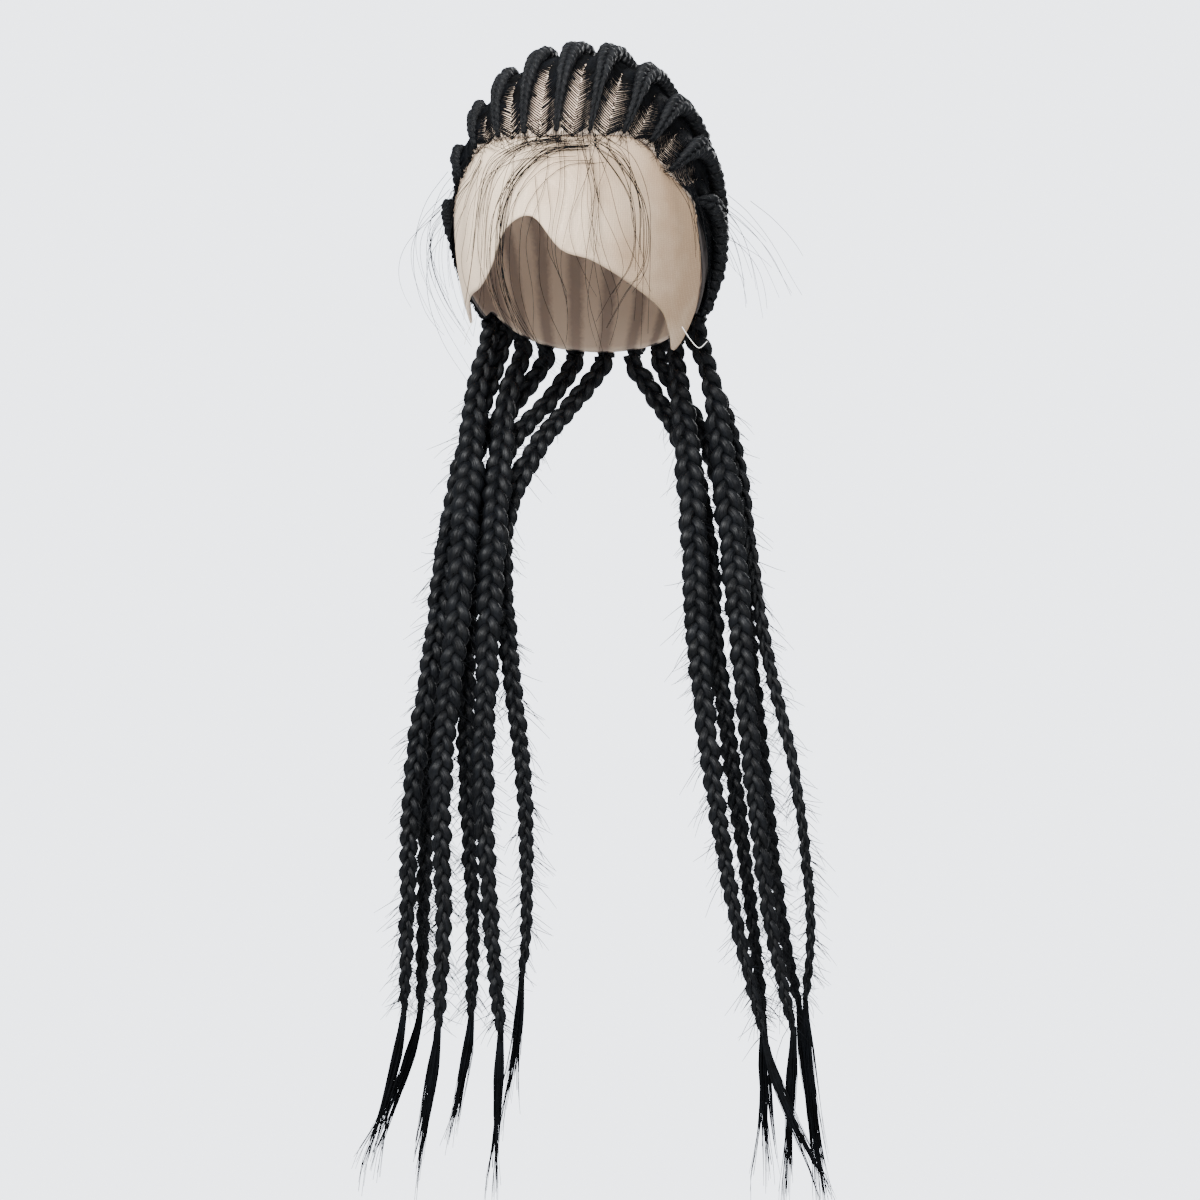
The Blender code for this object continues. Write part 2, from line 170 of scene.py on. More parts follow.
# Wisps of baby hair, as points across, back and up in the hang, in millimetres.
Wisp = namedtuple("Wisp", "name hairs spread points")
WISPS = (
    Wisp("forehead_sweep", 20, 0.006, (
        (4, -93, -64), (-21, -92, -68), (-42, -88, -91), (-48, -87, -120), (-45, -86, -150),
        (-30, -91, -179), (-7, -96, -199))),
    Wisp("temple_sweep", 12, 0.007, (
        (-12, -92, -60), (-36, -84, -64), (-53, -74, -79), (-60, -66, -132), (-66, -58, -167))),
    Wisp("middle_fall", 9, 0.005, (
        (11, -94, -62), (26, -92, -73), (35, -90, -97), (36, -90, -126), (35, -87, -170))),
    Wisp("middle_curl", 5, 0.004, (
        (12, -94, -62), (34, -91, -95), (36, -91, -130), (23, -95, -153), (12, -98, -173))),
    Wisp("loose_falls", 20, 0.020, (
        (-4, -94, -62), (-2, -95, -90), (-4, -94, -125), (6, -94, -160), (10, -94, -185))),
    Wisp("left_ear", 12, 0.009, (
        (-77, -20, -85), (-94, -30, -106), (-96, -38, -127), (-87, -45, -152), (-71, -50, -177))),
    Wisp("left_temple", 10, 0.008, (
        (-58, -60, -72), (-74, -55, -92), (-82, -52, -120), (-78, -52, -150), (-68, -52, -172))),
    Wisp("right_ear", 9, 0.008, (
        (83, -10, -87), (98, -18, -100), (113, -24, -118), (126, -28, -143))),
    Wisp("right_ear_low", 7, 0.007, (
        (83, -10, -90), (95, -18, -107), (103, -24, -130), (110, -28, -163))),
    Wisp("right_temple", 7, 0.005, (
        (55, -72, -67), (66, -68, -85), (73, -62, -115), (74, -56, -150))),
)
WISP_POINTS = 20
WISP_RADIUS = 0.00018
WISP_TAPER = 0.6
WISP_CORE = 0.15
WISP_LOOSE = 0.012

FLYAWAY_RADIUS = 0.00023
FLYAWAY_TAPER = 0.4
FLYAWAY_ROOT = 0.36
FLYAWAY_EXTRA = 0.009

# Parting hairs: lengths in metres, the rest as shares of a row's spacing or length.
PARTING_STEP = 0.0020
PARTING_REACH = 0.40
PARTING_FRONT = 0.004
PARTING_END = 0.97
PARTING_BEND = 0.15
PARTING_SLANT = 0.021
PARTING_HAIR_RADIUS = 0.00042
PARTING_SHADE_ROOT = 0.27
PARTING_RAGGED = 0.03
PARTING_SHADE_RAGGED = 0.10
PARTING_RISE = 0.0010
PARTING_CROWN_RISE = 0.0018
PARTING_CROWN_START = 0.2
ROOT_HAIR_RADIUS = 0.00014
ROOT_HAIR_TAPER = 0.7
THREAD_RADIUS = 0.00022
THREAD_TAPER = 0.9

# Shadows of the scalp outside and inside, painted shade darkening the lace towards +X
# as a share of its colour, and how far its threads and its holes cover.
SCALP_SHADOW = (0.05, 0.04, 0.036)
INSIDE_SHADOW = (0.34, 0.26, 0.21)
LACE_PAINTED_SHADE = (0.50, 0.42, 0.34)
THREAD_COVER = 0.96
HOLE_COVER = 0.72


def array(points):
    """A list of points as an array."""
    return np.asarray(points, float)


def unit(vectors):
    """Vectors of an array made one unit long."""
    return vectors / np.linalg.norm(vectors, axis=-1, keepdims=True)


def around(points, places):
    """The four list points around each place, and how far along the place is."""
    ends = np.concatenate([2 * points[:1] - points[1:2], points, 2 * points[-1:] - points[-2:-1]])
    index = np.clip(np.floor(places).astype(int), 0, len(points) - 2)
    return ends, index, places - index


def blend_four(four, part):
    """Smooth curve through four neighbouring points, between the middle two."""
    first, second, third, fourth = four
    part = part.reshape(part.shape + (1,) * (second.ndim - part.ndim))
    return 0.5 * (
        2 * second
        + (third - first) * part
        + (2 * first - 5 * second + 4 * third - fourth) * part**2
        + (3 * second - first - 3 * third + fourth) * part**3
    )


def smooth_at(points, places):
    """Points at places, counted in points, on the smooth curve through a list."""
    ends, index, part = around(array(points), array(places))
    return blend_four([ends[index + step] for step in range(4)], part)


def ways(turns, rises):
    """Unit vectors from the head's centre, from degrees of turn and rise."""
    turns = np.radians(array(turns))
    rises = np.radians(array(rises))
    return np.stack(
        [np.sin(turns) * np.cos(rises), -np.cos(turns) * np.cos(rises), np.sin(rises)], axis=-1
    )


def head_points(directions, lift):
    """Points of the head form in some directions, raised along its normal."""
    directions = unit(directions)
    across = HALF_WIDTH * (1 + EGG * directions[..., 1])
    below = LOWER_DROP - NAPE_TUCK * directions[..., 1]
    upright = np.where(directions[..., 2] >= 0, CROWN_RISE, below)
    axes = np.stack([across, np.full_like(across, HALF_LENGTH), upright], axis=-1)
    reach = 1 / np.linalg.norm(directions / axes, axis=-1, keepdims=True)
    points = directions * reach
    normals = unit(points / axes**2)
    return HEAD_CENTRE + points + normals * np.reshape(lift, np.shape(lift) + (1,)), normals


def clear_of_head(line, lift):
    """A line with the points that lie inside the head form pushed out of it."""
    off = line - HEAD_CENTRE
    surface = head_points(off, lift)[0]
    inside = np.linalg.norm(off, axis=1) < np.linalg.norm(surface - HEAD_CENTRE, axis=1)
    return np.where(inside[:, None], surface, line)


def from_hang(line):
    """Points given across, back and up in the hang, in the wig's own frame."""
    return line[:, :1] * HANG_RIGHT + line[:, 1:2] * HANG_BACK + line[:, 2:] * UP


def row_table():
    """Directions of every row and station, rows from -6 to 6."""
    rows = []
    for index, start in zip(range(-OUTER_ROW, OUTER_ROW + 1), HAIRLINE):
        side = 1 if index >= 0 else -1
        place = ROW_PLACES[abs(index)]
        turns = [start.turn, *(side * turn for turn in place[0::2])]
        rows.append(ways(turns, [start.rise, *place[1::2]]))
    return array(rows)


ROW_TABLE = row_table()


def row_ways(rows, places):
    """Directions of rows of the head, at places from hairline (0) to nape (1)."""
    rows, places = np.broadcast_arrays(array(rows), array(places))
    stations = unit(smooth_at(ROW_TABLE, rows.ravel() + OUTER_ROW)).swapaxes(0, 1)
    ends, index, part = around(stations, places.ravel() * (STATIONS - 1))
    each = np.arange(rows.size)
    four = [ends[index + step, each] for step in range(4)]
    return unit(blend_four(four, part)).reshape(rows.shape + (3,))


def bmesh_grid(bm, points):
    """Lay a grid of faces with UVs over an array of points, column by row."""
    steps, sides = points.shape[0] - 1, points.shape[1] - 1
    made = bmesh.ops.create_grid(
        bm, x_segments=sides, y_segments=steps, size=1.0, calc_uvs=True
    )["verts"]
    flat = points.reshape(-1, 3)
    for vertex in made:
        column = round((vertex.co.x + 1) / 2 * sides)
        step = round((vertex.co.y + 1) / 2 * steps)
        vertex.co = flat[step * (sides + 1) + column]


def to_object(name, bm, uv_scale=(1.0, 1.0)):
    """A smooth-shaded object from a bmesh, with its UVs in real lengths."""
    mesh = bpy.data.meshes.new(name)
    bm.to_mesh(mesh)
    bm.free()
    if mesh.uv_layers:
        layer = mesh.uv_layers[0]
        values = np.empty(len(layer.data) * 2, np.float32)
        layer.data.foreach_get("uv", values)
        values = values.reshape(-1, 2) * np.array(uv_scale, np.float32)
        layer.data.foreach_set("uv", values.ravel())
    mesh.shade_smooth()
    item = bpy.data.objects.new(name, mesh)
    bpy.context.scene.collection.objects.link(item)
    return item


def finish_piece(item, material, replaced=()):
    """Give a piece its material and slot, and let it ride on the wig."""
    item.data.materials.clear()
    item.data.materials.append(material)
    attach(item, BODY)
    if replaced:
        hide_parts(*replaced)


def closed_tubes(name, grids, uv_scale):
    """One object of several closed tubes, each from a grid of rings."""
    bm = bmesh.new()
    bm.loops.layers.uv.new("UVMap")
    for points in grids:
        bmesh_grid(bm, points)
    bmesh.ops.remove_doubles(bm, verts=bm.verts[:], dist=WELD / 10)
    ends = [edge for edge in bm.edges if edge.is_boundary]
    bmesh.ops.holes_fill(bm, edges=ends, sides=0)
    bmesh.ops.recalc_face_normals(bm, faces=bm.faces[:])
    return to_object(name, bm, uv_scale)


def hair_object(name, hairs, radius, taper, sides_level=0):
    """One object of many thin tapered hairs, each a list of points."""
    curve = bpy.data.curves.new(name + "_lines", "CURVE")
    curve.dimensions = "3D"
    curve.bevel_depth = radius
    curve.bevel_resolution = sides_level
    curve.use_fill_caps = True
    for points in hairs:
        points = array(points)
        spline = curve.splines.new("POLY")
        spline.points.add(len(points) - 1)
        flat = np.ones((len(points), 4))
        flat[:, :3] = points
        spline.points.foreach_set("co", flat.ravel())
        along = np.linspace(0, 1, len(points))
        spline.points.foreach_set("radius", 1 - (1 - taper) * along**2)
    line_object = bpy.data.objects.new(name + "_lines", curve)
    bpy.context.scene.collection.objects.link(line_object)
    evaluated = line_object.evaluated_get(bpy.context.evaluated_depsgraph_get())
    mesh = bpy.data.meshes.new_from_object(evaluated)
    bpy.data.objects.remove(line_object)
    bpy.data.curves.remove(curve)
    bm = bmesh.new()
    bm.from_mesh(mesh)
    bpy.data.meshes.remove(mesh)
    bmesh.ops.remove_doubles(bm, verts=bm.verts[:], dist=radius * taper / 10)
    return to_object(name, bm)


def welded_node(node):
    """The frame's node as a bmesh with its loose triangles joined."""
    bm = bmesh.new()
    bm.from_mesh(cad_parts[node].data)
    bmesh.ops.remove_doubles(bm, verts=bm.verts[:], dist=WELD)
    return bm


def rings_from(bm, first):
    """Rings of a lofted solid in order, walking along its edges from the first."""
    seen = set(first)
    rings = [list(first)]
    while True:
        ring = {edge.other_vert(vertex) for vertex in rings[-1] for edge in vertex.link_edges}
        ring -= seen
        if not ring:
            break
        seen |= ring
        rings.append(list(ring))
    return [array([vertex.co[:] for vertex in ring]) for ring in rings]


Spine = namedtuple("Spine", "points sides normals widths length")


def braid_spine(number):
    """Middle line, sides, normals and widths of a frame braid, nape to tie."""
    bm = welded_node(f"braid_{number}")
    lowest = sorted(bm.verts, key=lambda vertex: vertex.co.z)[:4]
    rings = rings_from(bm, lowest)[::-1]
    bm.free()
    centres = array([ring.mean(axis=0) for ring in rings])
    sides = []
    widths = []
    hint = np.array((1.0, 0.0, 0.0))
    for ring in rings:
        gaps = ring[:, None] - ring[None, :]
        spans = np.linalg.norm(gaps, axis=-1)
        first, second = np.unravel_index(spans.argmax(), spans.shape)
        side = unit(gaps[first, second])
        hint = side if side @ hint >= 0 else -side
        sides.append(hint)
        widths.append(spans.max())
    middle = centres.copy()
    middle[1:-1] = (centres[:-2] + 2 * centres[1:-1] + centres[2:]) / 4
    spine = fine_spine(middle, array(sides), array(widths) * CAD_OUTLINE, STRAND_STEP)
    to_tie = np.linspace(spine.length, 0, len(spine.points)) / TIE_LENGTH
    narrow = TIE_SHARE + (1 - TIE_SHARE) * np.clip(to_tie, 0, 1) ** TIE_CURVE
    return spine._replace(widths=spine.widths * narrow)


def fine_spine(points, sides, widths, step):
    """A spine with points a fixed step apart, its sides square to its run."""
    coarse = np.linalg.norm(np.diff(points, axis=0), axis=1).sum()
    many = np.linspace(0, len(points) - 1, max(20, round(4 * coarse / step)))
    line = smooth_at(points, many)
    runs = np.concatenate([[0], np.cumsum(np.linalg.norm(np.diff(line, axis=0), axis=1))])
    even = np.linspace(0, runs[-1], round(runs[-1] / step))
    places = np.interp(even, runs, many)
    line = smooth_at(points, places)
    ahead = unit(np.gradient(line, axis=0))
    side = smooth_at(sides, places)
    side = unit(side - ahead * (side * ahead).sum(axis=1, keepdims=True))
    normal = np.cross(side, ahead)
    width = np.interp(places, np.arange(len(widths)), widths)
    return Spine(line, side, normal, width, runs[-1])


def slow_noise(rng, count, period, length):
    """Values that drift between random ones, a period apart along a length."""
    knots = max(4, round(length / period))
    values = rng.uniform(-1, 1, knots)
    return np.interp(np.linspace(0, knots - 1, count), np.arange(knots), values)


def plait_strands(spine, pitch, heights, sides, rng, wrap):
    """Grids of the three strands of a plait along a spine."""
    count = len(spine.points)
    step = spine.length / (count - 1)
    pitches = np.broadcast_to(pitch, count)
    uneven = 1 + PITCH_JITTER * slow_noise(rng, count, PITCH_DRIFT, spine.length)
    phase = np.cumsum(math.tau * step * uneven / (3 * pitches))
    width = spine.widths[:, None]
    height = heights[:, None]
    turn = np.linspace(0, math.tau, sides + 1)
    grids = []
    for strand in range(3):
        angle = (phase + math.tau * strand / 3)[:, None]
        petals = slow_noise(rng, count, PETAL_DRIFT, spine.length)[:, None]
        jitter = 1 + PETAL_JITTER * petals
        across = wrap.swing * width * np.sin(angle) * jitter
        deep = -wrap.depth * height * np.sin(2 * angle)
        centre = spine.points + spine.sides * across + spine.normals * deep
        ahead = unit(np.gradient(centre, axis=0))
        out = spine.normals - ahead * (spine.normals * ahead).sum(axis=1, keepdims=True)
        out = unit(out)
        beside = np.cross(out, ahead)
        drift = slow_noise(rng, count, LOBE_DRIFT, spine.length)[:, None] * 2
        run = np.linspace(0, spine.length, count)[:, None]
        lobe = np.cos(STRAND_LOBES * turn[None] + STRAND_TWIST * run + drift)
        swell = (1 + STRAND_LOBE_DEPTH * lobe) * jitter
        swell = swell * (1 + wrap.swell * (np.sin(angle) ** SWELL_SHARPNESS - SWELL_MEAN))
        flat = (wrap.half_width * width * np.cos(turn)[None] * swell)[..., None]
        tall = (wrap.half_thick * height * np.sin(turn)[None] * swell)[..., None]
        grid = centre[:, None] + flat * beside[:, None] + tall * out[:, None]
        grid[:, -1] = grid[:, 0]
        grids.append(grid)
    return grids


def cornrow_size(places):
    """Widths and heights of a cornrow at places from hairline to nape."""
    table = array(CORNROW_SIZES)
    widths = np.interp(places, table[:, 0], table[:, 1])
    heights = np.interp(places, table[:, 0], table[:, 2])
    return widths, heights


def cornrow_spine(row):
    """Spine of a cornrow on the cap, and its heights."""
    places = np.linspace(CORNROW_START, 1.0, 400)
    line = head_points(row_ways(row, places), CAP_WALL)[0]
    runs = np.concatenate([[0], np.cumsum(np.linalg.norm(np.diff(line, axis=0), axis=1))])
    even = np.linspace(0, runs[-1], round(runs[-1] / CORNROW_STEP))
    places = np.interp(even, runs, places)
    widths, heights = cornrow_size(places)
    if row > 0:
        heights = heights * RIGHT_ROWS_RISE
    base, normals = head_points(row_ways(row, places), CAP_WALL)
    line = base + normals * heights[:, None] * CORNROW_MIDDLE
    ahead = unit(np.gradient(line, axis=0))
    sides = unit(np.cross(ahead, normals))
    normals = np.cross(sides, ahead)
    return Spine(line, sides, normals, widths, runs[-1]), heights


def new_group(name, inputs, outputs):
    """A shader node group with named inputs and outputs."""
    group = bpy.data.node_groups.new(name, "ShaderNodeTree")
    for label, kind, default in inputs:
        socket = group.interface.new_socket(label, in_out="INPUT", socket_type=kind)
        if default is not None:
            socket.default_value = default
    for label, kind in outputs:
        group.interface.new_socket(label, in_out="OUTPUT", socket_type=kind)
    start = group.nodes.new("NodeGroupInput")
    end = group.nodes.new("NodeGroupOutput")
    return group, start, end


def add_node(tree, kind, **settings):
    """A node in a tree with some of its settings changed."""
    node = tree.nodes.new(kind)
    for name, value in settings.items():
        setattr(node, name, value)
    return node


def math_node(tree, operation, *values, clamp=False):
    """A Math node on some values or sockets, giving its output socket."""
    node = add_node(tree, "ShaderNodeMath", operation=operation, use_clamp=clamp)
    for socket, value in zip(node.inputs, values):
        if isinstance(value, (int, float)):
            socket.default_value = value
        else:
            tree.links.new(value, socket)
    return node.outputs[0]


def object_place(tree):
    """The object's own coordinates, as a socket."""
    return add_node(tree, "ShaderNodeTexCoord").outputs["Object"]


def stretched(tree, vector, scale):
    """A vector socket stretched by a scale, giving its output socket."""
    node = add_node(tree, "ShaderNodeMapping")
    node.inputs["Scale"].default_value = scale
    tree.links.new(vector, node.inputs["Vector"])
    return node.outputs["Vector"]


def noise_node(tree, vector, scale, detail=3.0):
    """A Noise node's value output on a vector."""
    node = add_node(tree, "ShaderNodeTexNoise")
    node.inputs["Scale"].default_value = scale
    node.inputs["Detail"].default_value = detail
    node.inputs["Roughness"].default_value = 0.55
    tree.links.new(vector, node.inputs["Vector"])
    return node.outputs[0]


def hair_grain_group():
    """Fine hairs lying along a strand: a height and a slower shade."""
    group, start, end = new_group(
        "hair_grain", [("Vector", "NodeSocketVector", None)],
        [("Height", "NodeSocketFloat"), ("Shade", "NodeSocketFloat")],
    )
    vector = start.outputs["Vector"]
    fine = noise_node(group, stretched(group, vector, (1900.0, 60.0, 1.0)), 1.0, 2.0)
    lock = noise_node(group, stretched(group, vector, (620.0, 30.0, 1.0)), 1.0, 2.0)
    shade = noise_node(group, stretched(group, vector, (420.0, 90.0, 1.0)), 1.0, 3.0)
    height = math_node(group, "ADD", math_node(group, "MULTIPLY", fine, 0.5), lock)
    group.links.new(height, end.inputs["Height"])
    group.links.new(shade, end.inputs["Shade"])
    return group


def lace_net_group():
    """Hexagon-like net of fine threads: 1 on a thread, 0 in a hole."""
    group, start, end = new_group(
        "lace_net",
        [("Vector", "NodeSocketVector", None), ("Cell", "NodeSocketFloat", 1000.0)],
        [("Thread", "NodeSocketFloat")],
    )
    cells = add_node(group, "ShaderNodeTexVoronoi", feature="DISTANCE_TO_EDGE")
    cells.inputs["Randomness"].default_value = 0.35
    group.links.new(start.outputs["Vector"], cells.inputs["Vector"])
    group.links.new(start.outputs["Cell"], cells.inputs["Scale"])
    near = math_node(group, "MULTIPLY", cells.outputs["Distance"], 7.0, clamp=True)
    thread = math_node(group, "SUBTRACT", 1.0, near, clamp=True)
    group.links.new(thread, end.inputs["Thread"])
    return group


def paint(tree, shader, value, stops):
    """Colour a shader by a Color Ramp on a value, from (place, colour) stops."""
    node = add_node(tree, "ShaderNodeValToRGB")
    elements = node.color_ramp.elements
    while len(elements) < len(stops):
        elements.new(0.5)
    for element, (place, colour) in zip(elements, stops):
        element.position = place
        element.color = (*colour, 1.0)
    tree.links.new(value, node.inputs["Fac"])
    tree.links.new(node.outputs["Color"], shader.inputs["Base Color"])


def principled(name):
    """A new material with its node tree and its Principled shader."""
    material = bpy.data.materials.new(name)
    material.use_nodes = True
    tree = material.node_tree
    return material, tree, tree.nodes["Principled BSDF"]


def group_node(tree, name, vector):
    """A node group placed in a material, on a vector."""
    node = add_node(tree, "ShaderNodeGroup", node_tree=bpy.data.node_groups[name])
    tree.links.new(vector, node.inputs["Vector"])
    return node


def bump(tree, shader, height, strength, distance):
    """Bump from a height into a shader's normal."""
    node = add_node(tree, "ShaderNodeBump")
    node.inputs["Strength"].default_value = strength
    node.inputs["Distance"].default_value = distance
    tree.links.new(height, node.inputs["Height"])
    tree.links.new(node.outputs["Normal"], shader.inputs["Normal"])


def plait_material(name, colours):
    """Plaited hair: near black strands, grained along their run."""
    material, tree, shader = principled(name)
    uv = add_node(tree, "ShaderNodeUVMap", uv_map="UVMap").outputs["UV"]
    grain = group_node(tree, "hair_grain", uv)
    dark, light = colours
    paint(tree, shader, grain.outputs["Shade"], ((0.30, dark), (0.72, light)))
    rough = math_node(tree, "MULTIPLY_ADD", grain.outputs["Height"], 0.20, 0.30)
    tree.links.new(rough, shader.inputs["Roughness"])
    shader.inputs["Specular IOR Level"].default_value = 0.15
    bump(tree, shader, grain.outputs["Height"], 1.0, 0.00075)
    return material


def loose_hair_material(name, colours):
    """Single hairs: near black, a little lighter in places."""
    material, tree, shader = principled(name)
    shade = noise_node(tree, object_place(tree), 90.0)
    dark, light = colours
    paint(tree, shader, shade, ((0.35, dark), (0.7, light)))
    shader.inputs["Roughness"].default_value = 0.6
    shader.inputs["Specular IOR Level"].default_value = 0.06
    return material


def scalp_material(name, lace, shadow):
    """Lace scalp: light along the partings and the hairline, dark beside each cornrow."""
    material, tree, shader = principled(name)
    uv = add_node(tree, "ShaderNodeUVMap", uv_map="UVMap").outputs["UV"]
    parts = add_node(tree, "ShaderNodeSeparateXYZ")
    tree.links.new(uv, parts.inputs["Vector"])
    row = math_node(tree, "ADD", parts.outputs["X"], 0.5)
    share = math_node(tree, "FRACT", row)
    off = math_node(tree, "ABSOLUTE", math_node(tree, "SUBTRACT", share, 0.5))
    out = math_node(tree, "SUBTRACT", parts.outputs["X"], float(OUTER_ROW))
    out = math_node(tree, "SUBTRACT", math_node(tree, "ABSOLUTE", out), 3.9)
    outer = math_node(tree, "MAXIMUM", math_node(tree, "MULTIPLY", out, 0.22), 0.0)
    off = math_node(tree, "SUBTRACT", off, outer)
    place = object_place(tree)
    edge = math_node(tree, "MULTIPLY_ADD", noise_node(tree, place, 420.0, 2.0), 0.16, off)
    front = math_node(tree, "SUBTRACT", 0.055, parts.outputs["Y"])
    front = math_node(tree, "MULTIPLY", math_node(tree, "MAXIMUM", front, 0.0), 7.0)
    edge = math_node(tree, "ADD", edge, front)
    paint(tree, shader, edge, ((0.20, shadow), (0.40, lace)))
    net = group_node(tree, "lace_net", place)
    net.inputs["Cell"].default_value = 1100.0
    shader.inputs["Roughness"].default_value = 0.8
    bump(tree, shader, net.outputs["Thread"], 0.3, 0.0002)
    return material


def lace_material(name, lace):
    """Sheer lace: a fine net, a little clearer in its holes, with painted shade to +X."""
    material, tree, shader = principled(name)
    place = object_place(tree)
    net = group_node(tree, "lace_net", place)
    net.inputs["Cell"].default_value = 900.0
    parts = add_node(tree, "ShaderNodeSeparateXYZ")
    tree.links.new(place, parts.inputs["Vector"])
    cloud = noise_node(tree, place, 22.0)
    # Painted shade: darker and warmer towards +X, the viewer's right, mixed with a random cloud.
    cloud_and_shade = math_node(tree, "MULTIPLY_ADD", parts.outputs["X"], 7.0, cloud)
    shaded_lace = tuple(value * tint for value, tint in zip(lace, LACE_PAINTED_SHADE))
    paint(tree, shader, cloud_and_shade, ((0.30, lace), (1.0, shaded_lace)))
    cover = math_node(
        tree, "MULTIPLY_ADD", net.outputs["Thread"], THREAD_COVER - HOLE_COVER, HOLE_COVER)
    tree.links.new(cover, shader.inputs["Alpha"])
    shader.inputs["Roughness"].default_value = 0.75
    bump(tree, shader, net.outputs["Thread"], 0.35, 0.0002)
    return material


def plain_material(name, colour, roughness):
    """Thread or stage paint: one colour with a faint cloud in it."""
    material, tree, shader = principled(name)
    cloud = noise_node(tree, object_place(tree), 6.0)
    faint = tuple(value * 0.96 for value in colour)
    paint(tree, shader, cloud, ((0.2, faint), (0.8, colour)))
    shader.inputs["Roughness"].default_value = roughness
    return material


class WigLooks(bpy.types.PropertyGroup):
    """Colours and sizes of the wig's finish."""

    hair_dark: FloatVectorProperty(
        name="Hair shadow", description="Darkest colour of the hair", subtype="COLOR",
        default=(0.0013, 0.0014, 0.0016), min=0.0, max=1.0)
    hair_light: FloatVectorProperty(
        name="Hair sheen", description="Lightest colour of the hair", subtype="COLOR",
        default=(0.0036, 0.0044, 0.0060), min=0.0, max=1.0)
    lace: FloatVectorProperty(
        name="Lace", description="Colour of the sheer lace", subtype="COLOR",
        default=(0.86, 0.68, 0.50), min=0.0, max=1.0)
    scalp: FloatVectorProperty(
        name="Scalp", description="Colour of the lace in the partings", subtype="COLOR",
        default=(0.66, 0.52, 0.40), min=0.0, max=1.0)
    thread: FloatVectorProperty(
        name="Thread", description="Colour of the thread end", subtype="COLOR",
        default=(0.88, 0.86, 0.82), min=0.0, max=1.0)
    top_pitch: FloatProperty(
        name="Plait pitch", description="Length of one turn at the top of a braid",
        default=0.0118, unit="LENGTH")
    low_pitch: FloatProperty(
        name="Low pitch", description="Length of one turn at the tie of a braid",
        default=0.0104, unit="LENGTH")
    tip_hairs: IntProperty(
        name="Tip hairs", description="Hairs in each loose tip", default=98, min=10)
    flyaways: IntProperty(
        name="Flyaways", description="Short stray hairs along each braid", default=430, min=0)


class StageLooks(bpy.types.PropertyGroup):
    """Sizes and colours of the floor, lights and camera."""

    paint: FloatVectorProperty(
        name="Floor", description="Colour of the plain floor", subtype="COLOR",
        default=(0.80, 0.82, 0.85), min=0.0, max=1.0)
    sky: FloatVectorProperty(
        name="Studio", description="Colour of the plain studio round the wig", subtype="COLOR",
        default=(0.86, 0.90, 0.97), min=0.0, max=1.0)
    sky_seen: FloatProperty(
        name="Studio seen", description="Strength of the studio as the camera sees it",
        default=4.0)
    sky_light: FloatProperty(
        name="Studio light", description="Strength of the studio as it lights the wig",
        default=0.5)
    floor_height: FloatProperty(
        name="Floor height", description="Height of the floor", default=-1.45, unit="LENGTH")
    camera_distance: FloatProperty(
        name="Camera distance", description="From the wig to the camera", default=2.2,
        unit="LENGTH")
    view_width: FloatProperty(
        name="View width", description="Width seen at the wig", default=0.738, unit="LENGTH")


def looks():
    """The wig's properties of this scene."""
    return bpy.context.scene.wig_looks


def material_named(name, make, *values):
    """The material of a name, made once."""
    found = bpy.data.materials.get(name)
    return found or make(name, *values)


def hair_colours():
    """The two colours of the hair."""
    return tuple(looks().hair_dark), tuple(looks().hair_light)


def plaited_piece(node, spine, grids, girth):
    """The strands of a plait as one piece in place of its solid."""
    uv_scale = (girth * spine.widths.mean(), spine.length)
    item = closed_tubes(f"{node}_hair", grids, uv_scale)
    material = material_named("wig_plait", plait_material, hair_colours())
    finish_piece(item, material, [node])


def loose_piece(name, hairs, radius, taper, *replaced):
    """Loose hairs as one piece."""
    item = hair_object(name, hairs, radius, taper)
    material = material_named("wig_loose_hair", loose_hair_material, hair_colours())
    finish_piece(item, material, replaced)


class WIG_OT_finishes(bpy.types.Operator):
    """Build the shader groups that the finishes share"""

    bl_idname = "wig.finishes"
    bl_label = "Finishes"

    def execute(self, context):
        hair_grain_group()
        lace_net_group()
        return {"FINISHED"}


class WIG_OT_cap(bpy.types.Operator):
    """Make the lace cap over crown, sides and nape"""

    bl_idname = "wig.cap"
    bl_label = "Cap"
    across = 72
    down = 84

    def execute(self, context):
        rows = np.linspace(-OUTER_ROW, OUTER_ROW, self.across + 1)
        places = np.linspace(0, 1, self.down + 1)
        grid = head_points(row_ways(rows[None, :], places[:, None]), CAP_WALL)[0]
        item = head_sheet("cap_lace", grid, CAP_WALL, (2.0 * OUTER_ROW, 1.0))
        item.modifiers["wall"].material_offset = 1
        scalp = tuple(looks().scalp)
        outside = material_named("wig_scalp", scalp_material, scalp, SCALP_SHADOW)
        inside = material_named("wig_cap_inside", scalp_material, scalp, INSIDE_SHADOW)
        finish_piece(item, outside, ["cap"])
        item.data.materials.append(inside)
        return {"FINISHED"}


def head_sheet(name, grid, thickness, uv_scale=(1.0, 1.0)):
    """A sheet on the head, its faces outwards, thickened towards the head."""
    bm = bmesh.new()
    bm.loops.layers.uv.new("UVMap")
    bmesh_grid(bm, grid)
    bm.normal_update()
    centre = Vector(HEAD_CENTRE)
    outward = sum(face.normal.dot(face.calc_center_median() - centre) for face in bm.faces)
    if outward < 0:
        bmesh.ops.reverse_faces(bm, faces=bm.faces[:])
    item = to_object(name, bm, uv_scale)
    wall = item.modifiers.new("wall", "SOLIDIFY")
    wall.thickness = thickness
    wall.offset = -1.0
    return item


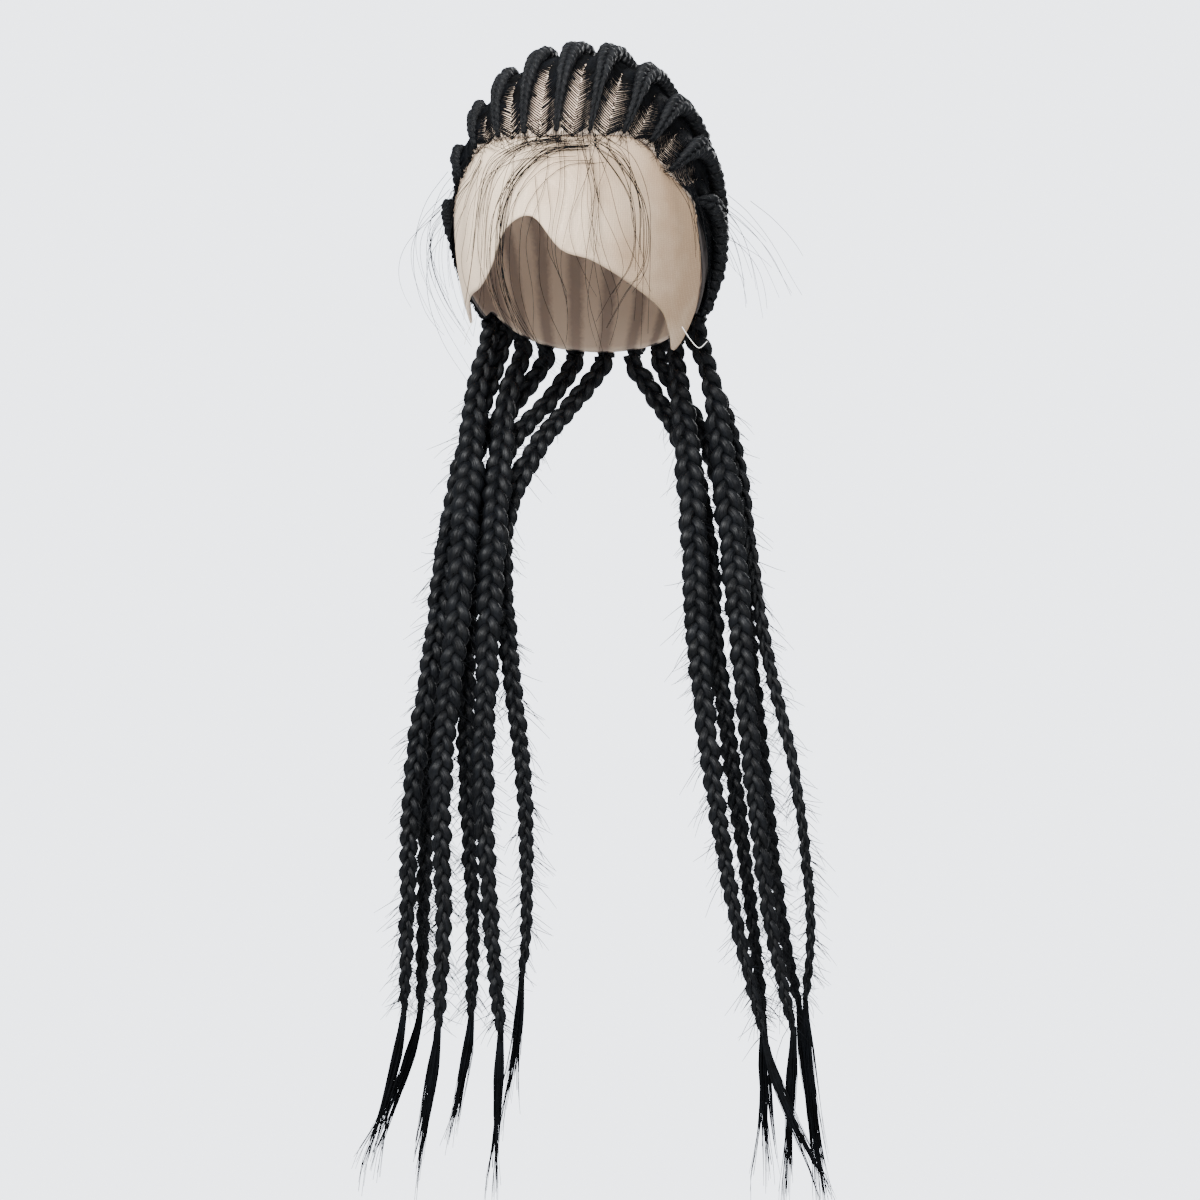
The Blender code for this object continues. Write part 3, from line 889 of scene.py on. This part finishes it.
class WIG_OT_lace_front(bpy.types.Operator):
    """Make the sheer lace over the forehead, the temples and before the ears"""

    bl_idname = "wig.lace_front"
    bl_label = "Lace front"
    column_splits = 5
    down = 30

    def top_ways(self):
        """Directions along the lace's upper edge, round the cap's front."""
        steps = np.arange(1, LACE_SIDE_COLUMNS + 1) / CAP_STEPS
        left = row_ways(-LACE_SIDE_ROW, steps[::-1])
        hairline = row_ways(np.array(CAP_LINES), 0.0)
        right = row_ways(LACE_SIDE_ROW, steps)
        return np.concatenate([left, hairline, right])

    def execute(self, context):
        tops = self.top_ways()
        edge = array(LACE_EDGE)
        lows = ways(edge[:, 0], edge[:, 1])
        columns = np.linspace(0, len(tops) - 1, (len(tops) - 1) * self.column_splits + 1)
        top = smooth_at(tops, columns)
        low = smooth_at(lows, columns)
        run = np.linalg.norm(head_points(low, 0.0)[0] - head_points(top, 0.0)[0], axis=1)
        share = np.linspace(0, 1, self.down + 1)[:, None, None]
        inset = (LACE_GAP / run)[None, :, None]
        share = inset + (1 - inset) * share
        grid = head_points(top[None] * (1 - share) + low[None] * share, LACE_WALL)[0]
        item = head_sheet("lace_panel", grid, LACE_WALL)
        material = material_named("wig_sheer_lace", lace_material, tuple(looks().lace))
        finish_piece(item, material, ["lace_front"])
        return {"FINISHED"}


class WIG_OT_cornrows(bpy.types.Operator):
    """Plait the eleven cornrows over the crown"""

    bl_idname = "wig.cornrows"
    bl_label = "Cornrows"

    def execute(self, context):
        for number in NUMBERS:
            rng = np.random.default_rng(100 + number)
            spine, heights = cornrow_spine(number - MIDDLE_NUMBER)
            grids = plait_strands(
                spine, CORNROW_PITCH, heights, CORNROW_SIDES, rng, CORNROW_WRAP)
            plaited_piece(f"cornrow_{number}", spine, grids, CORNROW_GIRTH)
        return {"FINISHED"}


class WIG_OT_braids(bpy.types.Operator):
    """Plait the eleven long braids of three strands each"""

    bl_idname = "wig.braids"
    bl_label = "Braids"

    def execute(self, context):
        for number in NUMBERS:
            rng = np.random.default_rng(200 + number)
            spine = braid_spine(number)
            along = np.linspace(0, 1, len(spine.points))
            pitch = looks().top_pitch + (looks().low_pitch - looks().top_pitch) * along
            grids = plait_strands(spine, pitch, spine.widths, STRAND_SIDES, rng, BRAID_WRAP)
            plaited_piece(f"braid_{number}", spine, grids, BRAID_GIRTH)
        return {"FINISHED"}


def tip_spine(number):
    """Middle line and half widths of a frame tip, tie to point."""
    bm = welded_node(f"tip_{number}")
    highest = sorted(bm.verts, key=lambda vertex: -vertex.co.z)[:5]
    rings = rings_from(bm, highest)
    bm.free()
    centres = array([ring.mean(axis=0) for ring in rings])
    halves = array([np.linalg.norm(ring - ring.mean(axis=0), axis=1).max() for ring in rings])
    centres[0] += unit(centres[0] - centres[1]) * TIP_ROOT
    return centres, halves


class WIG_OT_tips(bpy.types.Operator):
    """Make the loose lock at the end of each braid from many hairs"""

    bl_idname = "wig.tips"
    bl_label = "Tips"
    points = 10
    locks = 7

    def execute(self, context):
        for number in NUMBERS:
            rng = np.random.default_rng(300 + number)
            centres, halves = tip_spine(number)
            locks = [self.one_lock(rng) for _ in range(self.locks)]
            hairs = [
                self.one_hair(rng, centres, halves, locks[index % self.locks])
                for index in range(looks().tip_hairs)
            ]
            name = f"tip_{number}"
            loose_piece(f"{name}_hair", hairs, TIP_HAIR_RADIUS, TIP_TAPER, name)
        return {"FINISHED"}

    def one_lock(self, rng):
        """Turn, share of the width, end and stray of one thin lock of a tip."""
        return (
            rng.uniform(0, math.tau), math.sqrt(rng.uniform(0, 1)) * 0.8,
            rng.uniform(0.88, 1.2), TIP_LOCK_STRAY * rng.normal(0, 1, 2),
        )

    def one_hair(self, rng, centres, halves, lock):
        """One hair of a lock, keeping its own place in the bundle."""
        lock_turn, lock_share, lock_end, lock_stray = lock
        end = lock_end * rng.uniform(0.5, 1.0)
        along = np.linspace(0, end, self.points)
        last = len(centres) - 1
        places = along * last
        beyond = np.maximum(places - last, 0)[:, None]
        line = smooth_at(centres, np.minimum(places, last))
        line = line + beyond * (centres[-1] - centres[-2]) * TIP_TAIL
        half = np.interp(places, np.arange(len(halves)), halves)
        turn = rng.uniform(0, math.tau)
        share = math.sqrt(rng.uniform(0, 1)) * np.maximum(0.95 - 0.6 * along, 0.2)
        own = np.stack([share * math.cos(turn), share * math.sin(turn)])
        held = lock_share * np.array((math.cos(lock_turn), math.sin(lock_turn)))
        place = own + held[:, None] * along * 0.9
        stray = (lock_stray + rng.normal(0, TIP_HAIR_STRAY, 2))[:, None]
        stray = stray * np.minimum(along, 1.0) ** 3
        across, deep = half * place * np.array(TIP_SPREAD)[:, None] + stray
        return line + HANG_RIGHT * across[:, None] + HANG_BACK * deep[:, None]


class WIG_OT_parting_hair(bpy.types.Operator):
    """Comb the fine hairs from each parting into the cornrows"""

    bl_idname = "wig.parting_hair"
    bl_label = "Parting hair"
    points = 3

    def execute(self, context):
        rng = np.random.default_rng(400)
        for name, root in (("parting_hair", 0.0), ("parting_shade", PARTING_SHADE_ROOT)):
            hairs = []
            for parting in np.arange(-OUTER_ROW + 0.5, OUTER_ROW, 1.0):
                hairs += self.one_parting(rng, parting, root)
            loose_piece(name, hairs, PARTING_HAIR_RADIUS, 1.0)
        return {"FINISHED"}

    def one_parting(self, rng, parting, first):
        """Hairs on both sides of one parting, slanting back to the cornrows."""
        places = np.linspace(0, 1, 200)
        line = head_points(row_ways(parting, places), CAP_WALL)[0]
        length = np.linalg.norm(np.diff(line, axis=0), axis=1).sum()
        count = round(length / PARTING_STEP)
        step = 1 / count
        hairs = []
        for place in np.linspace(0.25 * first - PARTING_FRONT, PARTING_END, count):
            for side in (-1, 1):
                start = place + rng.normal(0, 0.0004) + (0.5 * step if first else 0.0)
                ragged = PARTING_SHADE_RAGGED if first else PARTING_RAGGED
                root = first + rng.uniform(-ragged, ragged)
                off = np.linspace(root, PARTING_REACH * rng.uniform(0.9, 1.1), self.points)
                share = off / PARTING_REACH
                down = np.minimum(start + PARTING_SLANT * (share + PARTING_BEND * share**2), 1)
                to_crown = np.clip(place / PARTING_CROWN_START, 0, 1)
                rise = PARTING_RISE + PARTING_CROWN_RISE * to_crown
                lift = CAP_WALL + 0.00015 + rise * np.maximum(share, 0) ** 2
                rows = parting + side * off
                hairs.append(head_points(row_ways(rows, down), lift)[0])
        return hairs


class WIG_OT_root_hair(bpy.types.Operator):
    """Fan the roots that feed the start of each cornrow at the hairline"""

    bl_idname = "wig.root_hair"
    bl_label = "Root hair"
    roots = 13

    def execute(self, context):
        rng = np.random.default_rng(450)
        hairs = []
        for number in NUMBERS:
            row = number - MIDDLE_NUMBER
            for share in np.linspace(-1, 1, self.roots):
                hairs.append(self.one_root(rng, row, share * abs(share) ** 0.6))
        loose_piece("root_hair", hairs, ROOT_HAIR_RADIUS, ROOT_HAIR_TAPER)
        return {"FINISHED"}

    def one_root(self, rng, row, share):
        """One hair from the hairline into a cornrow's start."""
        along = np.linspace(0, 1, 6)
        wide = share * 0.30 * (1 - along) ** 1.1 + 0.05 * share
        forward = rng.uniform(0.0, 0.03) * (1 - 0.5 * abs(share))
        places = -forward + (forward + 0.045 + 0.03 * abs(share)) * along
        lift = CAP_WALL + 0.0002 + 0.0032 * along**1.5
        return head_points(row_ways(row + wide, places), lift)[0]


class WIG_OT_baby_hair(bpy.types.Operator):
    """Make the long fine baby hairs round the face"""

    bl_idname = "wig.baby_hair"
    bl_label = "Baby hair"
    short_hairs = 330

    def execute(self, context):
        rng = np.random.default_rng(500)
        hairs = []
        for wisp in WISPS:
            hairs += [self.one_hair(rng, wisp) for _ in range(wisp.hairs)]
        hairs += [self.short_hair(rng) for _ in range(self.short_hairs)]
        loose_piece("baby_hair", hairs, WISP_RADIUS, WISP_TAPER)
        return {"FINISHED"}

    def one_hair(self, rng, wisp):
        """One hair of a wisp, straying further from it towards its end."""
        route = array(wisp.points) / 1000
        end = rng.uniform(0.6, 1.05)
        along = np.linspace(0, end, WISP_POINTS)
        line = smooth_at(route, along * (len(route) - 1))
        gathered = rng.uniform() < 0.5 and wisp.spread < WISP_LOOSE
        spread = wisp.spread * (WISP_CORE if gathered else 1.0)
        stray = rng.normal(0, spread, 3) * (0.7, 0.5, 0.8)
        bow = rng.normal(0, spread, 3) * (0.8, 0.4, 0.5)
        root = rng.normal(0, 0.0015 + 0.45 * spread, 3) * (1.6, 0.0, 1.6)
        shape = along[:, None]
        line = line + root + stray * shape**1.5 + bow * np.sin(math.pi * shape) * shape
        return clear_of_head(from_hang(line), CAP_WALL + rng.uniform(0.0004, 0.0025))

    def short_hair(self, rng):
        """A short hair lying on the lace just below the hairline."""
        row = rng.uniform(-5.6, 5.6)
        along = np.linspace(0, 1, 7)
        bend = rng.normal(0, 0.25)
        rows = row + bend * along**1.6
        places = rng.uniform(-0.025, 0.03) - rng.uniform(0.012, 0.05) * along
        lift = CAP_WALL + 0.0003 + rng.uniform(0.0006, 0.004) * np.sin(math.pi * along * 0.8)
        return head_points(row_ways(rows, places), lift)[0]


class WIG_OT_flyaways(bpy.types.Operator):
    """Scatter short stray hairs along the braids, more of them lower down"""

    bl_idname = "wig.flyaways"
    bl_label = "Flyaways"

    def execute(self, context):
        rng = np.random.default_rng(600)
        for number in NUMBERS:
            spine = braid_spine(number)
            hairs = [self.one_hair(rng, spine) for _ in range(looks().flyaways)]
            loose_piece(f"flyaways_{number}", hairs, FLYAWAY_RADIUS, FLYAWAY_TAPER)
        return {"FINISHED"}

    def one_hair(self, rng, spine):
        """One stray hair, leaning out and down from a braid."""
        last = len(spine.points) - 1
        index = int(last * rng.uniform(0.04, 1.0) ** 0.65)
        turn = rng.uniform(0, math.tau)
        out = spine.sides[index] * math.cos(turn) + spine.normals[index] * 0.7 * math.sin(turn)
        ahead = unit(spine.points[min(index + 1, last)] - spine.points[max(index - 1, 0)])
        start = spine.points[index] + out * spine.widths[index] * FLYAWAY_ROOT
        length = rng.uniform(0.003, 0.009) + FLYAWAY_EXTRA * rng.uniform() ** 3
        lean = rng.uniform(0.5, 1.3)
        along = np.linspace(0, 1, 4)[:, None]
        curl = rng.normal(0, 0.2, 3)
        return start + length * (out * along + ahead * lean * along**1.2 + curl * along**2)


class WIG_OT_thread(bpy.types.Operator):
    """Add the thin thread ends at the lower corners of the lace"""

    bl_idname = "wig.thread"
    bl_label = "Thread"

    def execute(self, context):
        routes = (
            ((0.061, -0.052, -0.168), (0.066, -0.056, -0.176), (0.071, -0.058, -0.181),
             (0.076, -0.057, -0.177)),
            ((-0.064, -0.040, -0.162), (-0.068, -0.043, -0.170), (-0.070, -0.044, -0.178)),
        )
        hairs = []
        for route in routes:
            line = smooth_at(route, np.linspace(0, len(route) - 1, 24))
            hairs.append(from_hang(line))
        item = hair_object("thread_ends", hairs, THREAD_RADIUS, THREAD_TAPER, 1)
        material = material_named("wig_thread", plain_material, tuple(looks().thread), 0.7)
        finish_piece(item, material)
        return {"FINISHED"}


class WIG_OT_stage(bpy.types.Operator):
    """Set up the plain floor, the soft studio light and the camera"""

    bl_idname = "wig.stage"
    bl_label = "Stage"
    floor_radius = 2.6
    view_across = 0.0117
    view_height = -0.332
    sensor = 36.0

    def execute(self, context):
        stage = context.scene.wig_stage
        self.make_floor(stage)
        self.make_studio(context, stage)
        self.make_lights()
        self.make_camera(context, stage)
        return {"FINISHED"}

    def make_floor(self, stage):
        """A round plain floor under the wig."""
        bm = bmesh.new()
        bmesh.ops.create_circle(bm, cap_ends=True, segments=96, radius=self.floor_radius)
        for vertex in bm.verts:
            vertex.co.z = stage.floor_height
        item = to_object("floor", bm)
        item.data.materials.append(plain_material("floor_paint", tuple(stage.paint), 0.9))

    def make_studio(self, context, stage):
        """An even pale studio all round."""
        world = bpy.data.worlds.new("studio")
        world.use_nodes = True
        tree = world.node_tree
        background = tree.nodes["Background"]
        background.inputs["Color"].default_value = (*stage.sky, 1.0)
        seen = add_node(tree, "ShaderNodeLightPath").outputs["Is Camera Ray"]
        strength = math_node(
            tree, "MULTIPLY_ADD", seen, stage.sky_seen - stage.sky_light, stage.sky_light)
        tree.links.new(strength, background.inputs["Strength"])
        context.scene.world = world

    def make_lights(self):
        """Large soft lights in front on both sides and above."""
        lamps = (
            ("key", (-0.9, -1.6, 0.9), 1.0, 130.0),
            ("fill", (1.3, -1.5, 0.3), 1.2, 36.0),
            ("top", (0.1, -0.1, 1.3), 1.0, 16.0),
            ("back", (0.6, 1.6, 0.4), 1.2, 20.0),
        )
        target = Vector((0.0, 0.0, -0.3))
        for name, place, size, energy in lamps:
            data = bpy.data.lights.new(name, "AREA")
            data.shape = "DISK"
            data.size = size
            data.energy = energy
            lamp = bpy.data.objects.new(name, data)
            lamp.location = Vector(place[0] * HANG_RIGHT + place[1] * HANG_BACK + place[2] * UP)
            lamp.rotation_euler = (target - lamp.location).to_track_quat("-Z", "Y").to_euler()
            bpy.context.scene.collection.objects.link(lamp)

    def make_camera(self, context, stage):
        """The camera, level and square to the hang of the braids."""
        data = bpy.data.cameras.new("camera")
        data.sensor_width = self.sensor
        data.lens = self.sensor * stage.camera_distance / stage.view_width
        camera = bpy.data.objects.new("camera", data)
        place = self.view_across * HANG_RIGHT - stage.camera_distance * HANG_BACK
        camera.location = Vector(place + self.view_height * UP)
        camera.rotation_euler = (math.pi / 2, 0.0, HANG_TURN)
        context.scene.collection.objects.link(camera)
        context.scene.camera = camera


class WIG_PT_panel(bpy.types.Panel):
    """Lists the wig's pieces in the sidebar"""

    bl_label = "Braid wig"
    bl_idname = "WIG_PT_panel"
    bl_space_type = "VIEW_3D"
    bl_region_type = "UI"
    bl_category = "Wig"

    def draw(self, context):
        for step in STEPS:
            self.layout.operator(step.bl_idname)


STEPS = (
    WIG_OT_finishes,
    WIG_OT_cap,
    WIG_OT_lace_front,
    WIG_OT_cornrows,
    WIG_OT_braids,
    WIG_OT_tips,
    WIG_OT_parting_hair,
    WIG_OT_root_hair,
    WIG_OT_baby_hair,
    WIG_OT_flyaways,
    WIG_OT_thread,
    WIG_OT_stage,
)
CLASSES = (WigLooks, StageLooks, *STEPS, WIG_PT_panel)


def register():
    """Register the classes and the scene's properties."""
    for item in CLASSES:
        bpy.utils.register_class(item)
    bpy.types.Scene.wig_looks = PointerProperty(type=WigLooks)
    bpy.types.Scene.wig_stage = PointerProperty(type=StageLooks)


def unregister():
    """Take the classes and the scene's properties away again."""
    del bpy.types.Scene.wig_stage
    del bpy.types.Scene.wig_looks
    for item in reversed(CLASSES):
        bpy.utils.unregister_class(item)


def main():
    """Make every piece in order."""
    register()
    for step in STEPS:
        group, name = step.bl_idname.split(".")
        getattr(getattr(bpy.ops, group), name)()


if __name__ == "__main__":
    main()
